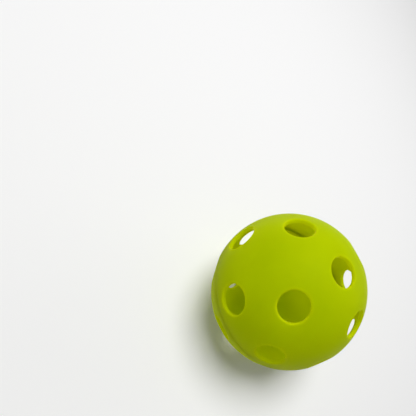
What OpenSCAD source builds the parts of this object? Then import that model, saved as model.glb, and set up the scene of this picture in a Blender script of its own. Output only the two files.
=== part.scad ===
// Perforated ball of the indoor court kind: two injection-moulded half
// shells, lapped at the equator and joined by one ring of weld.
// Millimetres. The origin is the centre of the ball and +Z is the axis of
// both moulds, so the seam lies in the XY plane and a hole is centred on
// each pole. The lap has no key, so the halves are welded at any turn about
// the axis and their rings of holes need not line up across the seam.

/* [Ball] */
// Outside diameter of the finished ball
ball_d = 74; // [73:0.1:75.4]
// Thickness of the moulded wall
wall = 1.8; // [1.7:0.1:2.3]

/* [Holes] */
// Diameter of every air hole
hole_d = 12.4; // [11:0.1:13]
// Radius rounded onto the outer edge of every hole
hole_round = 0.5; // [0.3:0.05:0.7]
// Chamfer on the inner edge of every hole
hole_chamfer = 0.2; // [0.1:0.05:0.3]
// Angle from the pole to the ring of four holes
ring_four_angle = 39; // [37:0.5:40]
// Angle from the pole to the ring of eight holes
ring_eight_angle = 74; // [72:0.5:75]
// Turn of the lower half about the axis from the mirror image of the upper
half_turn = 14; // [0:0.5:22.5]

/* [Seam] */
// Height of the spigot that locates one half in the other
lap_h = 1.2; // [0.8:0.1:1.6]
// Thickness of the film of weld between the halves
weld_t = 0.15; // [0.1:0.01:0.2]
// Depth of the small groove that the weld fills on the outside
groove_d = 0.25; // [0.2:0.01:0.3]
// Radius of the bead of flash left on the inside of the seam
flash_r = 0.25; // [0.15:0.05:0.4]

/* [Hidden] */
$fn = 180;
shell_colour = [0.68, 0.76, 0.02];
weld_colour = [0.60, 0.68, 0.02];
ball_r = ball_d / 2;
inner_r = ball_r - wall;
hole_r = hole_d / 2;
half_gap = weld_t / 2;
// The spigot takes the inner half of the wall.
spigot_in_r = inner_r - 0.04;
spigot_out_r = inner_r + wall / 2 - weld_t / 2;
recess_r = spigot_out_r + weld_t;
ledge_z = -lap_h - weld_t;
// Every hole of one half, as [angle from the pole, turn about the axis].
hole_places = concat(
    [[0, 0]],
    [for (i = [0 : 3]) [ring_four_angle, 90 * i]],
    [for (i = [0 : 7]) [ring_eight_angle, 45 * i + 22.5]]);

// Cutter for one hole on the +Z axis: a straight bore, a rounded outer edge
// and a chamfered inner edge.
module hole_cutter() {
    round_x = hole_r + hole_round;
    round_z = sqrt(pow(ball_r - hole_round, 2) - round_x * round_x);
    chamfer_z = sqrt(inner_r * inner_r - pow(hole_r + hole_chamfer, 2));
    rotate_extrude()
        polygon(concat(
            [[0, chamfer_z - 3],
             [hole_r + hole_chamfer + 1, chamfer_z - 1],
             [hole_r, chamfer_z + hole_chamfer]],
            [for (a = [180 : -13 : 89])
                [round_x + hole_round * cos(a), round_z + hole_round * sin(a)]],
            [[round_x + 2, round_z + hole_round + 0.04],
             [round_x + 2, ball_r + 3],
             [0, ball_r + 3]]));
}

module holes() {
    for (p = hole_places)
        rotate([0, p[0], p[1]]) hole_cutter();
}

// The shell between the two spheres, cut off at the height of the seam.
module half_shell(seam_z) {
    difference() {
        sphere(r = ball_r);
        sphere(r = inner_r);
        translate([0, 0, seam_z - ball_r - 5])
            cylinder(r = ball_r + 5, h = ball_r + 5);
    }
}

// The small bevel on the outer edge of the seam face.
module seam_bevel() {
    rotate_extrude()
        polygon([[ball_r - groove_d - 0.1, half_gap - 0.1],
                 [ball_r + 0.3, half_gap + groove_d + 0.3],
                 [ball_r + 0.3, half_gap - 0.1]]);
}

module shell_upper() {
    color(shell_colour)
    difference() {
        union() {
            difference() {
                half_shell(half_gap);
                seam_bevel();
            }
            // Spigot that drops inside the other half.
            translate([0, 0, -lap_h])
                difference() {
                    cylinder(r = spigot_out_r, h = lap_h + 0.6);
                    translate([0, 0, -1])
                        cylinder(r = spigot_in_r, h = lap_h + 3);
                }
        }
        holes();
    }
}

module shell_lower() {
    color(shell_colour)
    difference() {
        mirror([0, 0, 1])
            difference() {
                half_shell(half_gap);
                seam_bevel();
                rotate([0, 0, half_turn]) holes();
            }
        // Recess that takes the spigot.
        translate([0, 0, ledge_z])
            cylinder(r = recess_r, h = 5);
    }
}

// The ring of weld: a film that follows the lap, a low bead in the outer
// groove and a round bead of flash on the inside.
module weld_bead() {
    film_z = half_gap;
    bead_z = half_gap + groove_d * 0.7;
    flash_z = (-lap_h + ledge_z) / 2;
    color(weld_colour)
    rotate_extrude()
        polygon(concat(
            [[spigot_out_r, film_z],
             [ball_r - groove_d, film_z],
             [ball_r - groove_d * 0.3, bead_z],
             [ball_r - groove_d * 0.16, bead_z * 0.6],
             [ball_r - groove_d * 0.12, 0],
             [ball_r - groove_d * 0.16, -bead_z * 0.6],
             [ball_r - groove_d * 0.3, -bead_z],
             [ball_r - groove_d, -film_z],
             [recess_r, -film_z],
             [recess_r, ledge_z],
             [spigot_in_r, ledge_z]],
            [for (a = [-105 : -15 : -255])
                [spigot_in_r + flash_r * cos(a), flash_z + flash_r * sin(a)]],
            [[spigot_in_r, -lap_h],
             [spigot_out_r, -lap_h]]));
}

shell_upper();
shell_lower();
weld_bead();
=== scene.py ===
# Perforated ball: looks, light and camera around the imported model. Metres.
import math
import random

import bpy
import numpy as np
from mathutils import Matrix, Vector
from mathutils.geometry import delaunay_2d_cdt


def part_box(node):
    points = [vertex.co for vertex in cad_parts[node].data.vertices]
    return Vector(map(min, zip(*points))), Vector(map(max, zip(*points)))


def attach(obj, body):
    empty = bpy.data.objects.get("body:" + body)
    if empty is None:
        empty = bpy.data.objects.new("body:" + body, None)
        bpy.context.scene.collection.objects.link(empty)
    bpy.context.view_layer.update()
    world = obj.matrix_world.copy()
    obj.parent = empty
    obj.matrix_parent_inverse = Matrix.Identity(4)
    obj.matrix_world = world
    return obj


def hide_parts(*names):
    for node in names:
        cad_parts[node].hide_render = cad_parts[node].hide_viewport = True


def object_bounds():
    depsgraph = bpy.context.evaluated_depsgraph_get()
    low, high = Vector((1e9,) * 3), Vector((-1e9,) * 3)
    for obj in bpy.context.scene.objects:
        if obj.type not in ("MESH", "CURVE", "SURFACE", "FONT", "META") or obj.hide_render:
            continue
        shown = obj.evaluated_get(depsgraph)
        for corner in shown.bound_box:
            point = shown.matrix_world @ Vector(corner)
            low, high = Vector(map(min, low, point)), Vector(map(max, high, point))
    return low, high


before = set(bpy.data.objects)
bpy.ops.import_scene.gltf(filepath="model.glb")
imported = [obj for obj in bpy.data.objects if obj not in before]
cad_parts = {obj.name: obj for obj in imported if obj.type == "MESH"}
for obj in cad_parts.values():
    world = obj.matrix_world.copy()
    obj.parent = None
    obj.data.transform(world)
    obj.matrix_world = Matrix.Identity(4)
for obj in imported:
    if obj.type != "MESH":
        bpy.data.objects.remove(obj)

lo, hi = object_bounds()

# ---------------------------------------------------------------- sizes (mm)
shell_lo, shell_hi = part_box("shell_upper")
R = (shell_hi[0] - shell_lo[0]) / 2 * 1000.0
R = round(R, 1)                       # 37.0
WALL = 1.8
RI = R - WALL
HOLE = 6.2
ROUND = 0.5
INNER_ROUND = 0.25
FOUR, EIGHT = math.radians(39.0), math.radians(74.0)
TURN = math.radians(14.0)             # the lower half against the upper one
GAP, GROOVE = 0.075, 0.25
LAP, WELD_T = 1.2, 0.15
SPIGOT_IN, SPIGOT_OUT = RI - 0.04, RI + WALL / 2 - WELD_T / 2
RECESS, LEDGE = SPIGOT_OUT + WELD_T, -LAP - WELD_T
M = 72                                # points round a hole
N = 360                               # points round the seam
HOLES = [(0.0, 0.0)] + [(FOUR, math.radians(90 * i)) for i in range(4)] + \
        [(EIGHT, math.radians(45 * i + 22.5)) for i in range(8)]
LOWER_HOLES = [(t, a + TURN) for t, a in HOLES]      # before they are mirrored in the seam
FLASH = 0.2


def polar(t, a):
    return np.array([math.sin(t) * math.cos(a), math.sin(t) * math.sin(a), math.cos(t)])


def hole_frame(t, a):
    n = polar(t, a)
    e1 = np.array([math.cos(t) * math.cos(a), math.cos(t) * math.sin(a), -math.sin(t)])
    return n, e1, np.cross(n, e1)


def stereo(p):
    n = p / np.linalg.norm(p)
    return n[0] / (1 + n[2]), n[1] / (1 + n[2])


class Builder:
    def __init__(self):
        self.v, self.f, self.rim = [], [], []

    def add(self, p, rim=0.0):
        self.v.append(tuple(float(c) for c in p))
        self.rim.append(rim)
        return len(self.v) - 1

    def strip(self, a, b, flip=False):
        n = len(a)
        for i in range(n):
            q = (a[i], a[(i + 1) % n], b[(i + 1) % n], b[i])
            self.f.append(q[::-1] if flip else q)


def skin(b, places, radius, rim_angle, edge_angle, rims, edge, spacing, outward):
    """Triangles over one cap of a sphere: between the hole rims and the seam."""
    rings = []                        # extra rings of points round each hole
    step = spacing / radius
    offsets = [step * 0.55, step * 1.35]
    pts3, pts2, ids, edges, banned = [], [], [], [], []

    def push(p, vid=None):
        pts3.append(p)
        pts2.append(Vector(stereo(p)))
        ids.append(vid)
        return len(pts3) - 1

    loops = []
    for rim in rims:
        loop = [push(np.array(b.v[i]), i) for i in rim]
        loops.append(loop)
    loops.append([push(np.array(b.v[i]), i) for i in edge])
    for loop in loops:
        edges += [(loop[i], loop[(i + 1) % len(loop)]) for i in range(len(loop))]
    for t, a in places:
        n, e1, e2 = hole_frame(t, a)
        for k, off in enumerate(offsets):
            beta = rim_angle + off
            cnt = M if k == 0 else M // 2
            for i in range(cnt):
                ph = 2 * math.pi * (i + (0.5 if k else 0)) / cnt
                d = math.cos(beta) * n + math.sin(beta) * (math.cos(ph) * e1 + math.sin(ph) * e2)
                push(d * radius)
    for k, off in enumerate((step * 0.6,)):
        th = edge_angle - off
        for i in range(N // 2):
            push(polar(th, 2 * math.pi * i / (N // 2)) * radius)
    # a sunflower lattice fills what is left
    count = int(4 * math.pi / (0.866 * step * step))
    golden = math.pi * (3 - math.sqrt(5))
    centres = [polar(t, a) for t, a in places]
    lim = math.cos(rim_angle + offsets[-1] + step * 0.6)
    for i in range(count // 2 + 1):
        z = 1 - (2 * i + 1) / count
        if z < 0:
            break
        th = math.acos(z)
        if th > edge_angle - step * 1.25:
            continue
        d = polar(th, golden * i)
        if any(np.dot(d, c) > lim for c in centres):
            continue
        push(d * radius)
    out = delaunay_2d_cdt(pts2, edges, [], 0, 1e-7)
    verts2, faces, orig = out[0], out[2], out[3]
    new = []
    for k, src in enumerate(orig):
        if src:
            s = src[0]
            if ids[s] is None:
                ids[s] = b.add(pts3[s])
            new.append(ids[s])
        else:
            x, y = verts2[k]
            q = 1 + x * x + y * y
            new.append(b.add(np.array([2 * x / q, 2 * y / q, (2 - q) / q]) * radius))
    rim_cos = math.cos(rim_angle)
    for f in faces:
        tri = [new[i] for i in f]
        c = sum((np.array(b.v[i]) for i in tri)) / 3.0
        c /= np.linalg.norm(c)
        if any(np.dot(c, h) > rim_cos + 1e-5 for h in centres):
            continue
        p0, p1, p2 = (np.array(b.v[i]) for i in tri)
        if (np.dot(np.cross(p1 - p0, p2 - p0), c) > 0) != outward:
            tri = tri[::-1]
        b.f.append(tuple(tri))


def arc(cx, cz, r, a0, a1, n):
    return [(cx + r * math.cos(math.radians(a0 + (a1 - a0) * i / n)),
             cz + r * math.sin(math.radians(a0 + (a1 - a0) * i / n))) for i in range(n + 1)]


def hole_profile():
    x = HOLE + ROUND
    z = math.sqrt((R - ROUND) ** 2 - x * x)
    a = math.degrees(math.atan2(z, x))
    outer = arc(x, z, ROUND, a, 180, 9)
    xi = HOLE + INNER_ROUND
    zi = math.sqrt((RI + INNER_ROUND) ** 2 - xi * xi)
    ai = math.degrees(math.atan2(zi, xi))
    inner = arc(xi, zi, INNER_ROUND, 180, 180 + ai, 5)
    wall = [(HOLE, z + (zi - z) * k / 4) for k in range(1, 4)]
    return outer + wall + inner


PROFILE = hole_profile()


def half_shell(name, lower):
    b = Builder()
    rims_out, rims_in = [], []
    places = LOWER_HOLES if lower else HOLES
    for t, a in places:
        n, e1, e2 = hole_frame(t, a)
        rows = []
        for x, z in PROFILE:
            row = []
            for i in range(M):
                ph = 2 * math.pi * i / M
                row.append(b.add(n * z + (e1 * math.cos(ph) + e2 * math.sin(ph)) * x, 1.0))
            rows.append(row)
        for r0, r1 in zip(rows, rows[1:]):
            b.strip(r0, r1, flip=False)
        rims_out.append(rows[0])
        rims_in.append(rows[-1])
    # the seam, as rings about the axis, from the outer skin to the inner skin
    z0 = GAP + GROOVE
    ring = [(math.sqrt(R * R - z0 * z0), z0)]
    ring += [(R - 0.045, z0 - 0.055), (R - GROOVE, GAP)]
    if lower:
        # z is negated at the end, so the recess goes towards +z here
        ring += [(R - 0.55, GAP), (RECESS, GAP), (RECESS, -LEDGE),
                 (math.sqrt(RI * RI - LEDGE * LEDGE), -LEDGE)]
        inner_z = -LEDGE
    else:
        inner_z = 0.6
        ring += [(R - 0.55, GAP), (SPIGOT_OUT, GAP), (SPIGOT_OUT, -LAP), (SPIGOT_IN, -LAP),
                 (math.sqrt(RI * RI - inner_z * inner_z), inner_z)]
    rows = []
    for r, z in ring:
        rows.append([b.add((r * math.cos(2 * math.pi * i / N), r * math.sin(2 * math.pi * i / N), z))
                     for i in range(N)])
    for r0, r1 in zip(rows, rows[1:]):
        b.strip(r0, r1, flip=True)
    skin(b, places, R, math.asin(PROFILE[0][0] / R), math.acos(z0 / R), rims_out, rows[0], 1.15, True)
    skin(b, places, RI, math.asin(PROFILE[-1][0] / RI), math.acos(inner_z / RI), rims_in, rows[-1], 1.5, False)
    v = np.array(b.v)
    faces = b.f
    if lower:
        v[:, 2] *= -1
        faces = [f[::-1] for f in faces]
    return make_object(name, v, faces, b.rim)


def make_object(name, v, faces, rim=None):
    mesh = bpy.data.meshes.new(name)
    mesh.from_pydata([tuple(p / 1000.0) for p in v], [], faces)
    mesh.validate()
    mesh.update()
    # distance to the nearest hole's edge and to the seam, in millimetres
    d = np.linalg.norm(v, axis=1)
    n = v / d[:, None]
    c = np.array([polar(t, a) for t, a in HOLES] + [polar(t, a) * (1, 1, -1) for t, a in LOWER_HOLES])
    ang = np.arccos(np.clip((n @ c.T).max(axis=1), -1, 1))
    edge = np.maximum(ang * R - HOLE, 0.0)
    seam = np.abs(v[:, 2])
    depth = np.clip((R - d) / WALL, 0, 1)
    for key, val in (("edge_mm", edge), ("seam_mm", seam), ("depth", depth)):
        at = mesh.attributes.new(key, "FLOAT", "POINT")
        at.data.foreach_set("value", val.astype(np.float32))
    mesh.shade_smooth()
    mesh.set_sharp_from_angle(angle=math.radians(40))
    ob = bpy.data.objects.new(name, mesh)
    bpy.context.scene.collection.objects.link(ob)
    return ob


def weld_ring(name):
    rnd = random.Random(7)
    waves = [(rnd.randint(3, 60), rnd.uniform(0, 6.28), rnd.uniform(0.2, 1.0)) for _ in range(14)]

    def wob(a, k):
        return sum(w * math.sin(f * a + p + k) for f, p, w in waves) / 6.0

    film, bead = GAP, GAP + GROOVE * 0.7     # the bead fills the groove almost flush
    out = [(SPIGOT_OUT, film, 0), (R - 0.6, film, 0), (R - GROOVE, film, 0),
           (R - 0.052, bead, 0), (R - 0.022, bead + 0.035, 0.2),
           (R - 0.014, bead * 0.6, 1), (R - 0.010, 0, 1),
           (R - 0.014, -bead * 0.6, 1), (R - 0.022, -bead - 0.035, 0.2),
           (R - 0.052, -bead, 0), (R - GROOVE, -film, 0), (R - 0.6, -film, 0),
           (RECESS, -film, 0), (RECESS, LEDGE, 0), (SPIGOT_IN + 0.01, LEDGE, 0)]
    fz = (-LAP + LEDGE) / 2
    for a in range(-105, -256, -10):
        out.append((SPIGOT_IN + FLASH * math.cos(math.radians(a)), fz + FLASH * math.sin(math.radians(a)), -2))
    out += [(SPIGOT_IN, -LAP, 0), (SPIGOT_OUT, -LAP, 0)]
    b = Builder()
    rows = []
    for j, (r, z, k) in enumerate(out):
        row = []
        for i in range(N):
            a = 2 * math.pi * i / N
            w = wob(a, j * 0.05)
            dr = (0.004 * w - 0.004 if k > 0 else 0.05 * w if k < 0 else 0.0) * abs(k) ** 0.5
            row.append(b.add(((r + dr) * math.cos(a), (r + dr) * math.sin(a), z)))
        rows.append(row)
    for r0, r1 in zip(rows, rows[1:] + rows[:1]):
        b.strip(r0, r1, flip=True)
    return make_object(name, np.array(b.v), b.f)


# ---------------------------------------------------------------- materials
def node(nt, kind, x, y, **kw):
    nd = nt.nodes.new(kind)
    nd.location = (x, y)
    for k, val in kw.items():
        setattr(nd, k, val)
    return nd


def plastic(name, base, dark, edge_light_colour, rough, weld=False, through=0.5):
    """Satin moulded polyethylene, faintly translucent."""
    mat = bpy.data.materials.new(name)
    mat.use_nodes = True
    nt = mat.node_tree
    nt.nodes.clear()
    out = node(nt, "ShaderNodeOutputMaterial", 1200, 0)
    bs = node(nt, "ShaderNodeBsdfPrincipled", 900, 0)
    L = nt.links.new
    L(bs.outputs[0], out.inputs[0])
    tc = node(nt, "ShaderNodeTexCoord", -1400, 0)
    # cloudy variation of the pigment
    n1 = node(nt, "ShaderNodeTexNoise", -1100, 300)
    n1.inputs["Scale"].default_value = 55.0
    n1.inputs["Detail"].default_value = 3.0
    n1.inputs["Roughness"].default_value = 0.45
    L(tc.outputs["Object"], n1.inputs["Vector"])
    r1 = node(nt, "ShaderNodeMapRange", -850, 300)
    r1.inputs["From Min"].default_value, r1.inputs["From Max"].default_value = 0.3, 0.7
    L(n1.outputs[0], r1.inputs["Value"])
    mix = node(nt, "ShaderNodeMix", -550, 250, data_type="RGBA")
    mix.inputs["A"].default_value = dark
    mix.inputs["B"].default_value = base
    L(r1.outputs[0], mix.inputs["Factor"])
    # painted light: within 1.6 mm of each hole's edge the base colour turns paler, a painted glow standing in for
    # the light that the thinner plastic there lets out
    at = node(nt, "ShaderNodeAttribute", -1100, -50, attribute_name="edge_mm")
    edge_light_mask = node(nt, "ShaderNodeMapRange", -850, -50)
    edge_light_mask.inputs["From Min"].default_value, edge_light_mask.inputs["From Max"].default_value = 0.0, 1.6
    edge_light_mask.inputs["To Min"].default_value, edge_light_mask.inputs["To Max"].default_value = 0.55, 0.0
    L(at.outputs["Fac"], edge_light_mask.inputs["Value"])
    tint_and_edge_light = node(nt, "ShaderNodeMix", -250, 200, data_type="RGBA")
    L(mix.outputs["Result"], tint_and_edge_light.inputs["A"])
    tint_and_edge_light.inputs["B"].default_value = edge_light_colour
    L(edge_light_mask.outputs[0], tint_and_edge_light.inputs["Factor"])
    L(tint_and_edge_light.outputs["Result"], bs.inputs["Base Color"])
    # finish: satin, a little uneven
    n2 = node(nt, "ShaderNodeTexNoise", -1100, -350)
    n2.inputs["Scale"].default_value = 160.0
    n2.inputs["Detail"].default_value = 4.0
    L(tc.outputs["Object"], n2.inputs["Vector"])
    r3 = node(nt, "ShaderNodeMapRange", -850, -350)
    r3.inputs["From Min"].default_value, r3.inputs["From Max"].default_value = 0.3, 0.7
    r3.inputs["To Min"].default_value, r3.inputs["To Max"].default_value = rough - 0.035, rough + 0.045
    L(n2.outputs[0], r3.inputs["Value"])
    L(r3.outputs[0], bs.inputs["Roughness"])
    # relief: fine mould texture over slow waves
    n3 = node(nt, "ShaderNodeTexNoise", -1100, -650)
    n3.inputs["Scale"].default_value = 2600.0
    n3.inputs["Detail"].default_value = 2.0
    L(tc.outputs["Object"], n3.inputs["Vector"])
    n4 = node(nt, "ShaderNodeTexNoise", -1100, -900)
    n4.inputs["Scale"].default_value = 90.0
    n4.inputs["Detail"].default_value = 1.5
    L(tc.outputs["Object"], n4.inputs["Vector"])
    b1 = node(nt, "ShaderNodeBump", -300, -650)
    b1.inputs["Strength"].default_value = 0.35
    b1.inputs["Distance"].default_value = 0.00003
    L(n3.outputs[0], b1.inputs["Height"])
    b2 = node(nt, "ShaderNodeBump", 0, -750)
    b2.inputs["Strength"].default_value = 0.5
    b2.inputs["Distance"].default_value = 0.00012 if not weld else 0.0003
    L(n4.outputs[0], b2.inputs["Height"])
    L(b1.outputs[0], b2.inputs["Normal"])
    L(b2.outputs[0], bs.inputs["Normal"])
    bs.inputs["IOR"].default_value = 1.5
    bs.inputs["Specular IOR Level"].default_value = 0.035
    bs.inputs["Specular Tint"].default_value = (0.75, 0.85, 0.12, 1)
    bs.subsurface_method = "RANDOM_WALK"
    bs.inputs["Subsurface Weight"].default_value = 1.0
    bs.inputs["Subsurface Radius"].default_value = (1.0, 1.0, 0.12)
    sc = node(nt, "ShaderNodeAttribute", 200, -150, attribute_name="seam_mm")
    r4 = node(nt, "ShaderNodeMapRange", 450, -150)
    r4.inputs["From Min"].default_value, r4.inputs["From Max"].default_value = 0.8, 4.5
    r4.inputs["To Min"].default_value, r4.inputs["To Max"].default_value = 0.00015, 0.0025
    L(sc.outputs["Fac"], r4.inputs["Value"])
    L(r4.outputs[0], bs.inputs["Subsurface Scale"])
    # light that comes through the wall from the other side
    tr = node(nt, "ShaderNodeBsdfTranslucent", 900, -500)
    mix3 = node(nt, "ShaderNodeMix", 600, -450, data_type="RGBA", blend_type="MULTIPLY")
    mix3.inputs["Factor"].default_value = 1.0
    L(tint_and_edge_light.outputs["Result"], mix3.inputs["A"])
    mix3.inputs["B"].default_value = (1.74, 1.32, 1.0, 1)
    L(mix3.outputs["Result"], tr.inputs["Color"])
    L(b2.outputs[0], tr.inputs["Normal"])
    ms = node(nt, "ShaderNodeMixShader", 1100, -200)
    ms.inputs[0].default_value = through
    L(bs.outputs[0], ms.inputs[1])
    L(tr.outputs[0], ms.inputs[2])
    L(ms.outputs[0], out.inputs[0])
    return mat


# the third colour of each material is the painted edge light near the holes
shell_mat = plastic("moulded_lime_plastic", (0.555, 0.716, 0.0008, 1), (0.520, 0.681, 0.0006, 1),
                    (0.620, 0.772, 0.0012, 1), 0.42)
weld_mat = plastic("weld_lime_plastic", (0.550, 0.711, 0.0008, 1), (0.518, 0.678, 0.0006, 1),
                   (0.580, 0.738, 0.0010, 1), 0.41, weld=True)

upper = half_shell("ball_shell_upper", False)
lower = half_shell("ball_shell_lower", True)
weld = weld_ring("ball_weld_bead")
for ob, nd, slot, mat in ((upper, "shell_upper", "shell", shell_mat),
                          (lower, "shell_lower", "shell", shell_mat),
                          (weld, "weld_bead", "weld", weld_mat)):
    ob.data.materials.append(mat)
    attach(ob, "root")
    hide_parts(nd)

# ---------------------------------------------------------------- camera
# axes of the camera in the ball's frame: right, up, back
BACK = Vector((-0.19878, -0.54884, 0.81195)).normalized()
UP = Vector((-0.82798, 0.53730, 0.16048))
UP = (UP - BACK * UP.dot(BACK)).normalized()
RIGHT = UP.cross(BACK)
# the camera from the centre of the ball, in radii, along those axes
EYE = (-0.07069, -0.30630, 3.59793)
# focal length and principal point, in pixels of a 416 pixel frame
FOCAL, PX, PY, W = 270.54, 283.58, 316.95, 416.0
cam_data = bpy.data.cameras.new("camera")
cam = bpy.data.objects.new("camera", cam_data)
bpy.context.scene.collection.objects.link(cam)
rot = Matrix((RIGHT, UP, BACK)).transposed()
eye = (RIGHT * EYE[0] + UP * EYE[1] + BACK * EYE[2]) * R / 1000.0
cam.matrix_world = Matrix.Translation(eye) @ rot.to_4x4()
cam_data.sensor_width = 36.0
cam_data.lens = FOCAL / W * 36.0
cam_data.shift_x = -(PX - W / 2) / W
cam_data.shift_y = (PY - W / 2) / W
cam_data.clip_start, cam_data.clip_end = 0.005, 20
bpy.context.scene.camera = cam

# ---------------------------------------------------------------- stage
floor_z = lo[2]
floor_mesh = bpy.data.meshes.new("floor")
s = 3.0
floor_mesh.from_pydata([(-s, -s, floor_z), (s, -s, floor_z), (s, s, floor_z), (-s, s, floor_z)], [], [(0, 1, 2, 3)])
floor = bpy.data.objects.new("floor", floor_mesh)
bpy.context.scene.collection.objects.link(floor)
fm = bpy.data.materials.new("pale_floor")
fm.use_nodes = True
fb = fm.node_tree.nodes["Principled BSDF"]
fb.inputs["Base Color"].default_value = (0.86, 0.86, 0.86, 1)
fb.inputs["Roughness"].default_value = 0.85
fb.inputs["Specular IOR Level"].default_value = 0.1
fb.inputs["Emission Color"].default_value = (1, 1, 1, 1)
fb.inputs["Emission Strength"].default_value = 0.08
floor_mesh.materials.append(fm)

world = bpy.data.worlds.new("studio")
world.use_nodes = True
world.node_tree.nodes["Background"].inputs[0].default_value = (1, 1, 1, 1)
world.node_tree.nodes["Background"].inputs[1].default_value = 0.11
# the backdrop itself is paler than the light that it gives
wt = world.node_tree
backdrop = node(wt, "ShaderNodeBackground", 0, -200)
backdrop.inputs[0].default_value = (1, 1, 1, 1)
backdrop.inputs[1].default_value = 0.80
rays = node(wt, "ShaderNodeLightPath", 0, 300)
both = node(wt, "ShaderNodeMixShader", 300, 0)
wt.links.new(rays.outputs["Is Camera Ray"], both.inputs[0])
wt.links.new(wt.nodes["Background"].outputs[0], both.inputs[1])
wt.links.new(backdrop.outputs[0], both.inputs[2])
wt.links.new(both.outputs[0], wt.nodes["World Output"].inputs[0])
bpy.context.scene.world = world


def area(name, towards, dist, size, watts, colour=(1, 1, 1)):
    """A soft round light; towards is (right, up, back) in the camera's axes."""
    d = (RIGHT * towards[0] + UP * towards[1] + BACK * towards[2]).normalized()
    data = bpy.data.lights.new(name, "AREA")
    data.shape = "DISK"
    data.size = size
    data.energy = watts
    data.color = colour
    ob = bpy.data.objects.new(name, data)
    bpy.context.scene.collection.objects.link(ob)
    ob.location = d * dist
    ob.rotation_mode = "QUATERNION"
    ob.rotation_quaternion = d.to_track_quat("Z", "Y")
    return ob


area("key", (0.48, 0.42, 0.77), 0.9, 0.55, 7.7)
area("rim_top", (0.1, 0.9, -0.2), 0.9, 0.55, 0.6)
area("rim_right", (0.95, 0.2, -0.15), 0.9, 0.55, 0.55)

bpy.context.scene.view_settings.view_transform = "Standard"
bpy.context.scene.view_settings.look = "None"
